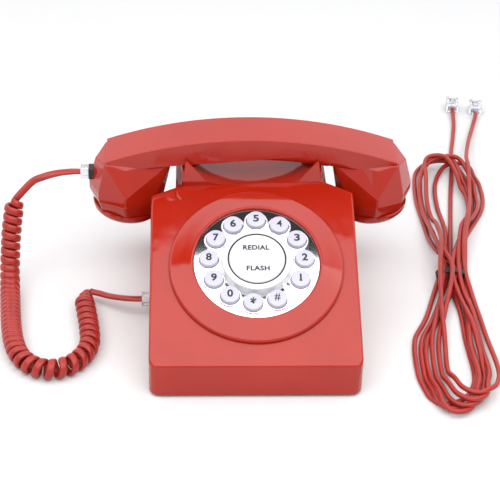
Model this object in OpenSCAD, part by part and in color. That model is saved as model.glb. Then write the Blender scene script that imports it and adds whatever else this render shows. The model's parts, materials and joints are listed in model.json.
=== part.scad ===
// Corded desk telephone. A wedge-shaped housing carries a ring of twelve push keys in a round
// dial, and an arched handset lies across a four-horned cradle. The curly handset cord is
// plugged in at the left, and the tied line cord lies beside the telephone on the right.
// The origin is the middle of the footprint at table level, the front faces -Y.

/* [Housing] */
// Width of the housing
body_w = 129; // [126:1:132]
// Depth of the housing, front to back
body_d = 176; // [174:1:178]
// Height of the front wall's top edge above the table
front_h = 22.8; // [22:0.2:24]
// Slope of the dial face against the table
face_angle = 24.4; // [24:0.2:25]
// Wall thickness of the mouldings
wall = 2.6; // [2.2:0.1:2.8]
// Height of the shoulders that pass under the handset's ends
shoulder_z = 34; // [30:1:35]
// Height of the rubber feet
foot_h = 2; // [1.5:0.1:2]

/* [Dial] */
// Radius of the red collar around the dial
collar_r = 54.4; // [54:0.2:55]
// Radius of the bright dial plate
plate_r = 39; // [38.8:0.1:39.4]
// Radius of the circle that the keys stand on
key_circle_r = 29.6; // [29.5:0.1:29.8]
// Radius of one key
key_r = 5.9; // [5.7:0.1:6]
// Travel of one key
key_travel = 1.5; // [1:0.1:1.6]
// Angle from one key to the next
key_pitch = 29.1; // [28.8:0.1:29.4]
// Radius of the round button in the middle
rocker_r = 17.3; // [17:0.1:17.5]

/* [Handset] */
// Length of the handset's two cup centres apart
cup_span = 162; // [160:1:164]
// Corner radius of an eight-sided cup
cup_r = 24.5; // [24:0.1:25]
// Depth of the handle, front to back
handle_d = 31; // [29:1:32]
// Height of the handle's flat front face
handle_h = 16; // [15:0.5:17]
// Height of the handle's top above the table, in the middle
handle_top = 105; // [104:0.5:106]
// Radius of the handle's arch along its top
arch_r = 275; // [265:5:285]
// Inward tilt of the round caps
cap_tilt = 8; // [6:1:9]

/* [Cords] */
// Outer diameter of the curly part of the handset cord
coil_d = 13; // [12:0.5:13]
// Diameter of the handset cord's straight leads
lead_d = 2.8; // [2.6:0.1:3]
// Diameter of the line cord
line_d = 3; // [2.6:0.1:3]

/* [Hidden] */
$fn = 64;

red = [0.82, 0.1, 0.07];
black = [0.12, 0.12, 0.13];
steel = [0.72, 0.73, 0.75];
clear = [0.85, 0.9, 0.92];

front_y = -body_d / 2;
back_y = body_d / 2;
half_w = body_w / 2;
// Sloping face: its lower edge, its upper edge and its rise
face_y0 = front_y + 1.2;
face_y1 = 29;
face_rise = tan(face_angle);
function face_z(y) = front_h + (y - face_y0) * face_rise;
skin_drop = wall / cos(face_angle);
shield_corner_y = 21;
shield_corner_x = 47;
corner_r = 7;
neck_w = 98;
neck_top = 70;
neck_back = 80;
dial_x = 1.4;
dial_y = -23.6;
dial_z = face_z(dial_y);
dial_hole_r = 44;

// Cradle: saddle arc, horns and the handset's centre line above it
handle_y = 54.5;
saddle_half_w = 45;
saddle_y0 = 31;
saddle_y1 = 2 * handle_y - saddle_y0;
saddle_low = 73.5;
saddle_high = 84.4;
saddle_edge_x = 41;
saddle_rise = saddle_high - saddle_low;
saddle_r = (saddle_edge_x * saddle_edge_x + saddle_rise * saddle_rise) / (2 * saddle_rise);
horn_top = 91;
plunger_x = 36;
plunger_r = 3.6;

// Handset levels
cup_x = cup_span / 2;
cap_r = 22;
joint_z = 51;
cap_h = 6.6;
handle_end_x = 94;
function arch_z(x, drop = 0) = handle_top - arch_r + sqrt((arch_r - drop) * (arch_r - drop) - x * x);

// Heights above the sloping face, measured along its normal
plate_top = 5;
plate_t = 1.6;
key_top = plate_top + 3.4;
key_floor = 1.2;
mat_top = key_floor - key_travel - 0.2;
board_top = -2.4;
key_names = ["1", "2", "3", "4", "5", "6", "7", "8", "9", "0", "star", "hash"];
first_key_angle = -26.5;
stop_angle = -45.7;
function key_angle(i) = first_key_angle + i * key_pitch;

// Sockets
jack_y = -3;
jack_z = 12;
line_jack_x = -24;
socket_z = 72.5;
socket_face_x = 101;

// Loose cord routes, centre line points
upper_route = [
    [-110.5, 54.5, 72.5], [-118, 54.5, 72.5], [-127, 54, 71.5], [-136, 53, 69.5],
    [-143, 51, 66.5], [-148.5, 48.5, 63], [-152, 47, 58.5]
];
coil_route = [
    [-152.5, 46, 56.8], [-154, 43, 50], [-155.5, 38, 40], [-156.5, 32, 28], [-157, 25, 16],
    [-156.5, 16, 9], [-155.5, 5, 6.5], [-154, -9, 6.5], [-152, -25, 6.5], [-149, -41, 6.5],
    [-144, -55, 6.5], [-136, -64.5, 6.5], [-125, -68.5, 6.5], [-113, -64.5, 6.5], [-105, -54, 6.5],
    [-102, -42, 6.5], [-103, -28, 6.5], [-105, -14, 6.5], [-107, -2, 6.5], [-108.5, 8, 6.5]
];
lower_route = [
    [-108.7, 8.8, 6.5], [-107.5, 13, 6.5], [-103, 16, 6], [-97, 15, 5], [-91, 10, 5],
    [-86, 5, 6.5], [-82, 0, 9], [-78, -2.5, 11], [-74, -3, 12], [-70.5, -3, 12]
];
line_tail_a = [
    [153, 173.5, 2], [157, 188.5, 1.6], [162, 208.5, 1.6], [165, 228.5, 1.6], [167, 248.5, 2.5], [168, 265.5, 3.4]
];
line_tail_b = [
    [165, 169.5, 2], [174, 190.5, 1.6], [179, 213.5, 1.6], [182, 231.5, 1.6], [184, 247.5, 2.5], [185.5, 261.5, 3.4]
];
line_plug_a = [168, 266];
line_plug_b = [185.6, 262];
tie_y = 35.5;
tie_x = 135;

// ---------- Shared shapes ----------

module round_rect(w, d, r) {
    square([w - 2 * r, d], center = true);
    square([w, d - 2 * r], center = true);
    for (x = [-1, 1], y = [-1, 1])
        translate([x * (w / 2 - r), y * (d / 2 - r)]) circle(r);
}

// Solid whose side outline, as Y and Z points, runs through the whole width
module side_prism(points, w) {
    rotate([90, 0, 90]) linear_extrude(w, center = true) polygon(points);
}

// Solid whose front outline, as X and Z points, runs from y0 to y1
module front_prism(points, y0, y1) {
    translate([0, y1, 0]) rotate([90, 0, 0]) linear_extrude(y1 - y0) polygon(points);
}

module on_face() {
    translate([dial_x, dial_y, dial_z]) rotate([face_angle, 0, 0]) children();
}

module ring(r_out, r_in, z0, z1) {
    rotate_extrude() translate([r_in, z0]) square([r_out - r_in, z1 - z0]);
}

// Pan-head screw: head downwards at the origin, shank upwards
module screw(shank_r, shank_l, head_r, head_h) {
    cylinder(r = head_r, h = head_h);
    translate([0, 0, head_h]) cylinder(r = shank_r, h = shank_l);
}

// Tube swept along a route by a ring of points at each stop
function unit(v) = v / norm(v);
function tangent(p, i) = unit(p[min(i + 1, len(p) - 1)] - p[max(i - 1, 0)]);
function side_of(t) = unit(cross(t, abs(t[2]) > 0.9 ? [0, 1, 0] : [0, 0, 1]));
function ring_point(p, i, a, r) =
    let (t = tangent(p, i), s = side_of(t), u = cross(s, t)) p[i] + r * (cos(a) * s + sin(a) * u);

module tube(route, r, sides) {
    last = len(route) - 1;
    points = [for (i = [0:last], k = [0:sides - 1]) ring_point(route, i, 360 * k / sides, r)];
    skin = [
        for (i = [0:last - 1], k = [0:sides - 1])
            let (a = i * sides + k, b = i * sides + (k + 1) % sides)
                each [[a, b, b + sides], [a, b + sides, a + sides]]
    ];
    start_cap = [[for (k = [sides - 1:-1:0]) k]];
    end_cap = [[for (k = [0:sides - 1]) last * sides + k]];
    polyhedron(points, concat(skin, start_cap, end_cap));
}

// ---------- Housing ----------

module wide_plan(t) {
    round_rect(body_w - 2 * t, body_d - 2 * t, corner_r - t);
}

module shield_plan(t) {
    intersection() {
        wide_plan(t);
        polygon([
            [-half_w, front_y], [half_w, front_y], [half_w, shield_corner_y - t],
            [shield_corner_x, 27 - t], [-shield_corner_x, 27 - t], [-half_w, shield_corner_y - t]
        ]);
    }
}

module neck_plan(t) {
    translate([0, (20 + back_y - 1) / 2]) round_rect(neck_w - 2 * t, back_y - 21 - 2 * t, corner_r - t);
}

module side_outline(t) {
    drop = t > 0 ? skin_drop : 0;
    floor_z = t > 0 ? -1 : foot_h;
    side_prism([
        [front_y + t, floor_z],
        [face_y0 + t, face_z(face_y0 + t) - drop],
        [face_y1 - t, face_z(face_y1 - t) - drop],
        [saddle_y0 + t, neck_top - t],
        [neck_back - t, neck_top - t],
        [back_y - t, shoulder_z - t],
        [back_y - t, floor_z]
    ], body_w + 2);
}

module body_form(t) {
    intersection() {
        side_outline(t);
        union() {
            linear_extrude(shoulder_z - t) wide_plan(t);
            linear_extrude(90) shield_plan(t);
            linear_extrude(90) neck_plan(t);
        }
    }
}

module saddle_form(t) {
    difference() {
        translate([-saddle_half_w + t, saddle_y0 + t, neck_top - t])
            cube([2 * (saddle_half_w - t), saddle_y1 - saddle_y0 - 2 * t, saddle_high - neck_top + t]);
        translate([0, 0, saddle_low + saddle_r]) rotate([90, 0, 0])
            cylinder(r = saddle_r + t, h = 300, center = true, $fn = 128);
    }
}

module horn() {
    hull() {
        translate([26, saddle_y0, saddle_low - 1]) cube([19, 6.6, 1]);
        translate([saddle_edge_x, 36, horn_top - 0.6]) cube([1.6, 1.6, 0.6]);
    }
}

module cradle_horns() {
    for (side = [0, 1], back = [0, 1])
        translate([0, back * 2 * handle_y, 0]) mirror([0, back, 0]) mirror([side, 0, 0]) horn();
}

boss_x = 52;
boss_y = 74;

module boss_places() {
    for (x = [-boss_x, boss_x], y = [-boss_y, boss_y]) translate([x, y, 0]) children();
}

module housing() {
    color(red) difference() {
        union() {
            difference() {
                body_form(0);
                body_form(wall);
            }
            // Screw bosses that grow down from the roof of the shell
            intersection() {
                boss_places() translate([0, 0, foot_h + 2.6]) cylinder(r = 4, h = 40);
                body_form(0.5);
            }
            // Two posts that carry the hook bracket
            for (x = [-1, 1]) translate([x * 24, handle_y, 52]) cylinder(r = 3, h = neck_top - 53);
        }
        on_face() translate([0, 0, -12]) cylinder(r = dial_hole_r, h = 30, $fn = 96);
        boss_places() translate([0, 0, foot_h]) cylinder(r = 1.45, h = 14);
        for (x = [-1, 1]) {
            translate([x * plunger_x, handle_y, 60]) cylinder(r = plunger_r + 0.3, h = 20);
            translate([x * 24, handle_y, 52]) cylinder(r = 1.25, h = 9);
        }
        // Windows for the two sockets and the ringer switch
        translate([-half_w - 1, jack_y - 4.1, jack_z - 3.6]) cube([wall + 2, 8.2, 7.2]);
        translate([line_jack_x - 6.4, back_y - wall - 1, 7.4]) cube([12.8, wall + 2, 9.6]);
        translate([half_w - wall - 1, 35, 12]) cube([wall + 2, 10, 4]);
    }
}

// Saddle with its four horns, closed against the neck's flat top
module cradle() {
    color(red) difference() {
        union() {
            saddle_form(0);
            cradle_horns();
        }
        saddle_form(wall);
        for (x = [-1, 1]) translate([x * plunger_x, handle_y, 60]) cylinder(r = plunger_r + 0.3, h = 40);
    }
}

// ---------- Base ----------

plate_z0 = foot_h;
plate_z1 = foot_h + 2.4;
ringer_y = -54;

module base_plate() {
    color(black) difference() {
        union() {
            translate([0, 0, plate_z0]) linear_extrude(plate_z1 - plate_z0)
                round_rect(body_w - 2 * wall - 0.4, body_d - 2 * wall - 1.4, corner_r - wall);
            // Standoffs under the main board
            for (x = [-40, 40], y = [20, 66]) translate([x, y, plate_z1]) cylinder(r = 3, h = 4);
        }
        boss_places() {
            translate([0, 0, plate_z0 - 1]) cylinder(r = 1.7, h = 5);
            translate([0, 0, plate_z0 - 1]) cylinder(r = 3.3, h = 2.2);
        }
        for (x = [-40, 40], y = [20, 66]) translate([x, y, plate_z1 - 1]) cylinder(r = 1.25, h = 6);
        // Sound slots under the ringer
        for (i = [-2:2]) translate([-9, ringer_y + i * 4 - 0.8, plate_z0 - 1]) cube([18, 1.6, 5]);
    }
}

module rubber_feet() {
    color(black) for (x = [-50, 50], y = [-62, 62])
        translate([x, y, 0]) {
            cylinder(r1 = 5.4, r2 = 6, h = 0.6);
            translate([0, 0, 0.6]) cylinder(r = 6, h = foot_h - 0.6);
        }
}

module base_screws() {
    color(steel) boss_places() translate([0, 0, plate_z0]) screw(1.4, 9, 3, 1.2);
}

module ballast() {
    color(steel) translate([-45, -36, plate_z1]) {
        difference() {
            cube([90, 36, 5]);
            for (x = [6, 84]) translate([x, 18, -1]) cylinder(r = 2.2, h = 8);
        }
    }
}

module main_board() {
    color([0.1, 0.4, 0.2]) difference() {
        translate([-45, 14, plate_z1 + 4]) cube([90, 58, 1.6]);
        for (x = [-40, 40], y = [20, 66]) translate([x, y, plate_z1]) cylinder(r = 1.6, h = 8);
    }
}

module board_screws() {
    color(steel) for (x = [-40, 40], y = [20, 66])
        translate([x, y, plate_z1 + 7]) rotate([180, 0, 0]) screw(1.2, 4.5, 2.4, 1.4);
}

module ringer() {
    color(black) translate([0, ringer_y, plate_z1]) {
        cylinder(r = 13, h = 3);
        translate([0, 0, 3]) cylinder(r = 10, h = 2.5);
    }
}

module line_jack() {
    depth = 12;
    color(black) translate([line_jack_x, back_y - wall, 0]) difference() {
        union() {
            translate([-7, -depth, plate_z1]) cube([14, depth, 14]);
            translate([-6.2, 0, 7.6]) cube([12.4, wall - 0.4, 9.2]);
        }
        translate([-4.95, 1.5 - depth, 8.8]) cube([9.9, depth + 8, 6.8]);
    }
}

module handset_jack() {
    depth = 12;
    color(black) translate([wall - half_w, jack_y, 0]) difference() {
        union() {
            translate([0, -6, plate_z1]) cube([depth, 12, 14]);
            translate([0.4 - wall, -4, jack_z - 3.4]) cube([wall, 8, 6.8]);
        }
        translate([-wall - 1, -3.95, jack_z - 3.3]) cube([depth + wall - 0.5, 7.9, 6.6]);
    }
}

module ringer_switch() {
    color(steel) translate([half_w - wall - 5, 32, 9]) difference() {
        cube([5, 16, 10]);
        translate([2, 2, 3]) cube([4, 12, 4]);
    }
}

module ringer_switch_knob() {
    color(black) translate([half_w - wall - 2.6, 36.6, 12.3]) {
        cube([2.4, 3.6, 3.4]);
        translate([2, 0.4, 0.3]) cube([wall + 1.8, 2.8, 2.8]);
    }
}

// ---------- Dial, in the frame of the sloping face ----------

module dial_collar() {
    color(red) on_face() difference() {
        rotate_extrude($fn = 128) polygon([
            [plate_r + 0.3, -4], [dial_hole_r - 0.3, -4], [dial_hole_r - 0.3, 0.05], [collar_r - 0.8, 0.05],
            [collar_r, 0.8], [collar_r, 1.6], [collar_r - 0.5, 2.4], [collar_r - 1.6, 2.9],
            [plate_r + 1.6, 5.7], [plate_r + 0.6, 5.9], [plate_r + 0.3, 5.6], [plate_r + 0.3, plate_top - plate_t],
            [plate_r - 1.9, plate_top - plate_t], [plate_r - 1.9, 2.2], [plate_r + 0.3, 2.2]
        ]);
        translate([0, 0, -4.5]) for (k = [0:3]) rotate(45 + 90 * k)
            translate([42.4, 0, 0]) cylinder(r = 0.6, h = 3, $fn = 16);
    }
}

module key_places(indices = [0:11]) {
    for (i = indices) rotate(key_angle(i)) translate([key_circle_r, 0, 0]) children();
}

module dial_plate() {
    bottom = plate_top - plate_t;
    color([0.9, 0.9, 0.92]) on_face() difference() {
        union() {
            translate([0, 0, bottom]) cylinder(r = plate_r, h = plate_t, $fn = 128);
            ring(plate_r, plate_r - 1.4, bottom, plate_top + 0.6, $fn = 128);
            key_places() translate([0, 0, bottom]) cylinder(r = key_r + 1.4, h = plate_t + 0.5);
            for (x = [-22.2, 20.4]) translate([x, -2, bottom - 3.2]) cube([1.8, 4, 3.2]);
        }
        translate([0, 0, -2]) cylinder(r = rocker_r + 0.6, h = 20);
        key_places() translate([0, 0, -2]) cylinder(r = key_r + 0.3, h = 20);
        translate([0, 0, bottom - 1.6]) rotate([0, 90, 0]) cylinder(r = 0.85, h = 60, center = true);
    }
}

module finger_stop() {
    color(steel) on_face() rotate(stop_angle) translate([0, 0, plate_top]) {
        translate([plate_r - 1.6, 0, 0]) rotate([0, 0, 180]) linear_extrude(1.2)
            polygon([[0, -1.5], [0, 1.5], [14, 0.9], [15.4, 0.4], [15.4, -0.4], [14, -0.9]]);
    }
}

module centre_ring() {
    top = plate_top + 4.4;
    color([0.93, 0.93, 0.95]) on_face() rotate_extrude($fn = 96) polygon([
        [rocker_r + 0.7, plate_top], [rocker_r + 4, plate_top], [rocker_r + 3.95, top - 1.2],
        [rocker_r + 3.4, top - 0.3], [rocker_r + 1.1, top], [rocker_r + 0.7, top - 0.3]
    ]);
}

rocker_axis_h = plate_top - plate_t - 1.6;

module centre_rocker() {
    top = plate_top + 5;
    color([0.93, 0.93, 0.95]) on_face() difference() {
        rotate_extrude($fn = 96) polygon([
            [0, 0.2], [rocker_r - 1, 0.2], [rocker_r - 0.3, 1.2], [rocker_r, plate_top],
            [rocker_r, top - 1.6], [rocker_r - 0.5, top - 0.6], [rocker_r - 1.6, top - 0.1], [0, top + 0.5]
        ]);
        translate([0, 0, rocker_axis_h]) rotate([0, 90, 0]) cylinder(r = 0.88, h = 60, center = true);
    }
}

module rocker_pin() {
    color(steel) on_face() translate([0, 0, rocker_axis_h]) rotate([0, 90, 0])
        cylinder(r = 0.8, h = 44, center = true);
}

// One key: a slightly crowned button with a flange that the dial plate keeps in
module key(i) {
    color([0.94, 0.93, 0.97]) on_face() key_places([i]) rotate_extrude($fn = 48) polygon([
        [0, key_floor], [key_r + 0.9, key_floor], [key_r + 0.9, key_floor + 1.2], [key_r, key_floor + 1.2], [key_r - 0.1, key_top - 1.1],
        [key_r - 0.4, key_top - 0.5], [key_r - 1, key_top - 0.1], [0, key_top + 0.2]
    ]);
}

module keypad_mat() {
    color([0.75, 0.77, 0.8]) on_face() {
        translate([0, 0, board_top]) cylinder(r = plate_r - 1.6, h = 1);
        key_places() translate([0, 0, board_top + 0.5]) cylinder(r1 = 4, r2 = 3, h = mat_top - board_top - 0.5);
    }
}

module keypad_board() {
    color([0.1, 0.4, 0.2]) on_face() difference() {
        translate([0, 0, board_top - 1.6]) cylinder(r = plate_r - 0.9, h = 1.6);
        for (x = [-12, 12]) translate([x, 0, -8]) cylinder(r = 1.5, h = 10);
    }
}

module keypad_backplate() {
    color(black) on_face() difference() {
        union() {
            translate([0, 0, -6]) cylinder(r = dial_hole_r + 3, h = 2);
            ring(dial_hole_r + 3, dial_hole_r + 0.3, -4.5, -wall - 0.1);
        }
        translate([-8, -30, -7]) cube([16, 10, 4]);
        for (k = [0:3]) rotate(45 + 90 * k) translate([42.4, 0, -7]) cylinder(r = 0.7, h = 5, $fn = 16);
    }
}

module keypad_screws() {
    color(steel) on_face() for (k = [0:3]) rotate(45 + 90 * k)
        translate([42.4, 0, -7.2]) screw(0.5, 4.4, 1.6, 1.2, $fn = 16);
}

// ---------- Hook ----------

lever_y = 37;
lever_z = 40;

module hook_bracket() {
    color(steel) difference() {
        union() {
            translate([-43, 47, 50]) cube([86, 15, 2]);
            for (x = [-20, 18]) translate([x, 34, 36]) cube([2, 6, 16]);
            for (x = [-20, 18]) translate([x, 34, 50]) cube([2, 14, 2]);
        }
        for (x = [-1, 1]) {
            translate([x * plunger_x, handle_y, 45]) cylinder(r = 3.2, h = 10);
            translate([x * 24, handle_y, 45]) cylinder(r = 1.6, h = 10);
        }
        translate([0, lever_y, lever_z]) rotate([0, 90, 0]) cylinder(r = 1.05, h = 60, center = true);
    }
}

module hook_screws() {
    color(steel) for (x = [-24, 24]) translate([x, handle_y, 48.6]) screw(1.2, 8, 2.4, 1.4);
}

module hook_lever() {
    color(black) difference() {
        union() {
            translate([0, lever_y, lever_z]) rotate([0, 90, 0]) cylinder(r = 2.6, h = 35.4, center = true);
            translate([-15, lever_y, lever_z - 1.2]) cube([30, 12, 2.4]);
            translate([-40, 49, 41]) cube([80, 9, 2.4]);
            translate([-15, 47, lever_z - 1.2]) cube([30, 4, 3.6]);
        }
        translate([0, lever_y, lever_z]) rotate([0, 90, 0]) cylinder(r = 1.05, h = 60, center = true);
    }
}

module hook_lever_pin() {
    color(steel) translate([0, lever_y, lever_z]) rotate([0, 90, 0]) cylinder(r = 1, h = 42, center = true);
}

module hook_switch() {
    color(black) {
        translate([-7, 44, plate_z1 + 5.6]) cube([14, 8, 24]);
        translate([-1.5, 46.5, plate_z1 + 29.6]) cube([3, 3, 2.4]);
    }
}

module plunger(side) {
    color([0.95, 0.95, 0.95]) translate([side * plunger_x, handle_y, 0]) rotate_extrude() polygon([
        [0, 44], [2.9, 44], [2.9, 61], [5, 61], [5, 63], [plunger_r, 63], [plunger_r, 84.6],
        [plunger_r - 0.5, 85.5], [plunger_r - 1.6, 86.1], [0, 86.2]
    ]);
}

module plunger_springs() {
    color(steel) for (side = [-1, 1]) translate([side * plunger_x, handle_y, 0]) ring(4.2, 3.3, 52, 61);
}

// ---------- Handset ----------

channel_half = 49;
cover_t = 2.4;
// Length of the web that joins a cup to the handle, from the handle's end inwards
web_l = 43.5;
cover_screw_x = 44;

// The cover's two screws, from where its top meets the handle's bosses
module cover_screw_places() {
    for (x = [-cover_screw_x, cover_screw_x])
        translate([x, handle_y, arch_z(x, handle_h - cover_t) + 0.8]) children();
}

// Thin eight-sided slab of a cup, tilted like the cap
module cup_slab(r, z, tilt) {
    translate([0, 0, z]) rotate([0, tilt, 0]) cylinder(r = r, h = 0.5, $fn = 8);
}

// Left-hand cup about its own axis, before it is moved to the handset's end
module cup_form(t) {
    hull() {
        cup_slab(cup_r - 2.2 - t, joint_z, cap_tilt);
        cup_slab(cup_r - t, joint_z + 8, cap_tilt / 2);
        cup_slab(cup_r - t, joint_z + 15, 0);
        translate([cup_x - handle_end_x + t - 1, -handle_d / 2 + t, arch_z(handle_end_x) - 3 - t]) cube([web_l - 2.5 * t, handle_d - 2 * t, 2.4]);
    }
}

module at_cup(side) {
    translate([side * cup_x, handle_y, 0]) mirror([side > 0 ? 1 : 0, 0, 0]) children();
}

// Arched bar between two depths below the top, out to a half length
module arch_bar(top_drop, bottom_drop, half_l, depth) {
    steps = 24;
    xs = [for (i = [0:steps]) -half_l + 2 * half_l * i / steps];
    front_prism(
        concat([for (x = xs) [x, arch_z(x, top_drop)]], [for (i = [steps:-1:0]) [xs[i], arch_z(xs[i], bottom_drop)]]),
        handle_y - depth / 2, handle_y + depth / 2
    );
}

module handset_shell() {
    color(red) difference() {
        union() {
            arch_bar(0, handle_h, handle_end_x, handle_d);
            at_cup(-1) cup_form(0);
            at_cup(1) cup_form(0);
        }
        difference() {
            union() {
                arch_bar(wall, handle_h + 2, channel_half, handle_d - 2 * wall);
                arch_bar(wall, handle_h - wall, 80, handle_d - 2 * wall);
            }
            cover_screw_places() cylinder(r = 3, h = 40);
        }
        cover_screw_places() translate([0, 0, -1]) cylinder(r = 1.35, h = 11);
        for (side = [-1, 1]) at_cup(side) {
            cup_form(wall);
            translate([0, 0, joint_z]) rotate([0, cap_tilt, 0]) translate([0, 0, -3]) cylinder(r = cap_r - 2, h = 12);
        }
        translate([-socket_face_x - 8, handle_y - 4.1, socket_z - 3.6]) cube([12, 8.2, 7.2]);
    }
}

module handset_cover() {
    color(red) difference() {
        arch_bar(handle_h - cover_t, handle_h - 0.1, channel_half - 0.2, handle_d - 2 * wall - 0.3);
        cover_screw_places() {
            translate([0, 0, -10]) cylinder(r = 1.6, h = 12);
            translate([0, 0, -10]) cylinder(r = 3, h = 8.6);
        }
    }
}

module handset_screws() {
    color(steel) cover_screw_places() translate([0, 0, -2.3]) screw(1.3, 8, 2.6, 0.9);
}

module handset_weight() {
    color(steel) difference() {
        translate([-34, handle_y - 9, 91.6]) cube([68, 18, 6]);
        translate([0, handle_y, 90]) cylinder(r = 2, h = 20);
    }
}

module handset_socket() {
    color(black) translate([-socket_face_x, handle_y, socket_z]) difference() {
        translate([-4.4, -4, -3.5]) cube([16, 8, 7]);
        translate([-5, -3.9, -3.25]) cube([14.6, 7.8, 6.5]);
    }
}

// Shallow dished cap with a rounded rim, its outer face downwards
module cap_form(hole_rows) {
    translate([0, 0, joint_z]) rotate([0, cap_tilt, 0]) difference() {
        rotate_extrude($fn = 72) polygon([
            [0, -cap_h], [cap_r - 5, -cap_h], [cap_r - 2.4, -cap_h + 0.8], [cap_r - 0.8, -cap_h + 2.6],
            [cap_r, -cap_h + 5], [cap_r, -0.15], [cap_r - 2.4, -0.15], [cap_r - 2.4, 4], [cap_r - 4.2, 4],
            [cap_r - 4.2, -cap_h + 3.4], [cap_r - 6, -cap_h + 2.2], [0, -cap_h + 2.2]
        ]);
        for (row = [0:hole_rows - 1], k = [0:max(1, 6 * row) - 1])
            rotate(360 * k / max(1, 6 * row)) translate([row * 4.4, 0, -cap_h - 1]) cylinder(r = 0.9, h = 4, $fn = 16);
    }
}

module mouth_cap() {
    color(red) at_cup(-1) cap_form(3);
}

module ear_cap() {
    color(red) at_cup(1) cap_form(4);
}

module microphone() {
    color(black) at_cup(-1) translate([0, 0, joint_z]) rotate([0, cap_tilt, 0]) translate([0, 0, -4.2]) {
        cylinder(r = 5, h = 5);
        translate([0, 0, 5]) cylinder(r = 12, h = 1.4);
    }
}

module receiver() {
    color(steel) at_cup(1) translate([0, 0, joint_z]) rotate([0, cap_tilt, 0]) translate([0, 0, -4.2]) {
        cylinder(r = 16, h = 5);
        translate([0, 0, 5]) cylinder(r = 10, h = 5);
    }
}

// ---------- Cords and plugs ----------

// Four-contact plug, its cable end at the origin and its nose along +X
module small_plug() {
    translate([0, -3.8, -3.15]) cube([12.6, 7.6, 6.3]);
    translate([1, -1.6, -4.4]) cube([4, 3.2, 1.25]);
}

module handset_plug() {
    color(clear) difference() {
        translate([-110.5, handle_y, socket_z]) small_plug();
        translate([-111, handle_y, socket_z]) rotate([0, 90, 0]) cylinder(r = 1.5, h = 0.5);
    }
}

module base_plug() {
    color(clear) translate([-70.5, jack_y, jack_z]) small_plug();
}

module upper_lead() {
    color(red) tube(upper_route, lead_d / 2, 8);
}

module cord_coil() {
    color(red) tube(coil_route, coil_d / 2, 10);
}

module lower_lead() {
    color(red) tube(lower_route, lead_d / 2, 8);
}

// Flat bundle of the line cord's loops, pinched in the middle by its tie
module hank_outline() {
    hull() {
        translate([154, 153.5]) circle(24);
        translate([tie_x, tie_y]) circle(8.5);
    }
    hull() {
        translate([tie_x, tie_y]) circle(8.5);
        translate([128, -76.5]) circle(28);
    }
}

module line_hank() {
    color(red) {
        linear_extrude(2 * line_d) hank_outline();
        tube(line_tail_a, line_d / 2, 8);
        tube(line_tail_b, line_d / 2, 8);
    }
}

// Six-position plug lying flat, its cable end at the origin and its nose along +Y
module line_plug() {
    translate([-4.83, 0, 0.4]) cube([9.65, 12.3, 6.2]);
    translate([-1.6, 0.5, 6.6]) cube([3.2, 9, 1.4]);
}

module line_plugs() {
    color(clear) {
        translate([line_plug_a[0], line_plug_a[1], 0]) rotate(-6) line_plug();
        translate([line_plug_b[0], line_plug_b[1], 0]) rotate(-8) line_plug();
    }
}

module twist_tie() {
    color(black) translate([tie_x, tie_y, 0]) difference() {
        translate([-10.6, -2, 0]) cube([21.2, 4, 2 * line_d + 1]);
        translate([-9.6, -3, -1]) cube([19.2, 6, 2 * line_d + 1.1]);
    }
}

// ---------- Assembly ----------

housing();
cradle();
base_plate();
rubber_feet();
base_screws();
ballast();
main_board();
board_screws();
ringer();
line_jack();
handset_jack();
ringer_switch();
ringer_switch_knob();
dial_collar();
dial_plate();
finger_stop();
centre_ring();
centre_rocker();
rocker_pin();
keypad_mat();
keypad_board();
keypad_backplate();
keypad_screws();
for (i = [0:11]) key(i);
hook_bracket();
hook_screws();
hook_lever();
hook_lever_pin();
hook_switch();
plunger(-1);  // plunger_left
plunger(1);  // plunger_right
plunger_springs();
handset_shell();
handset_cover();
handset_screws();
handset_weight();
handset_socket();
mouth_cap();
ear_cap();
microphone();
receiver();
handset_plug();
upper_lead();
cord_coil();
lower_lead();
base_plug();
line_hank();
line_plugs();
twist_tie();
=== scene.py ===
import json
import math

import bmesh
import bpy
from mathutils import Matrix, Vector


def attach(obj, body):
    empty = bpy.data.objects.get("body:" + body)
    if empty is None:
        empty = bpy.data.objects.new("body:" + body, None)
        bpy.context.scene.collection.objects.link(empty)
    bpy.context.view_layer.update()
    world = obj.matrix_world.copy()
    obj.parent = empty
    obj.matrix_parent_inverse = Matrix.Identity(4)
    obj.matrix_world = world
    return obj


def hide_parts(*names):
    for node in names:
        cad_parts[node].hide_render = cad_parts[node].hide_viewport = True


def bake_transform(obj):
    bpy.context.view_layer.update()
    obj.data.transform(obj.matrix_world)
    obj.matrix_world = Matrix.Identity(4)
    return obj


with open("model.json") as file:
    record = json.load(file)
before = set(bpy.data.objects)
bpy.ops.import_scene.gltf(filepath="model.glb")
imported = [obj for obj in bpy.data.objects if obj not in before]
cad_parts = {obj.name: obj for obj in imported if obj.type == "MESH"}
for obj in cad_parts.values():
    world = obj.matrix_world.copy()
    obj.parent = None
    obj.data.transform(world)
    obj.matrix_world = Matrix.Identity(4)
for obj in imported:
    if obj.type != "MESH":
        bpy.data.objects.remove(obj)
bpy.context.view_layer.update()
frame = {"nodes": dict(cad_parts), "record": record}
NODES = frame["nodes"]

# Places in millimetres, as the solids are; finishing a piece brings it to metres.
MM = 0.001
SLOPE = math.radians(24.4)             # the face rises towards the back
DIAL = Vector((1.4, -23.6, 51.469))    # middle of the dial, on the face
KEY_CIRCLE = 29.6                      # radius that the keys stand on
FIRST_KEY = -26.5                      # key 1, in degrees round the dial
KEY_PITCH = 29.1                       # degrees from key to key
KEY_TOP = 8.48                         # a legend's height above the face
FACE_TURN = Matrix.Rotation(SLOPE, 4, "X")
ON_FACE = Matrix.Translation(DIAL * MM) @ FACE_TURN
HALF_WIDTH = 64.5                      # housing, side to side
HANDSET_Y = 54.5                       # middle of the handset, front to back
CUP_X = 81                             # middle of each cup, out from the centre line
HANDLE_R = 275                         # radius of the handle's arch
HANDLE_TOP = 105                       # highest point of the arch


# ---------- Camera ----------

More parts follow.
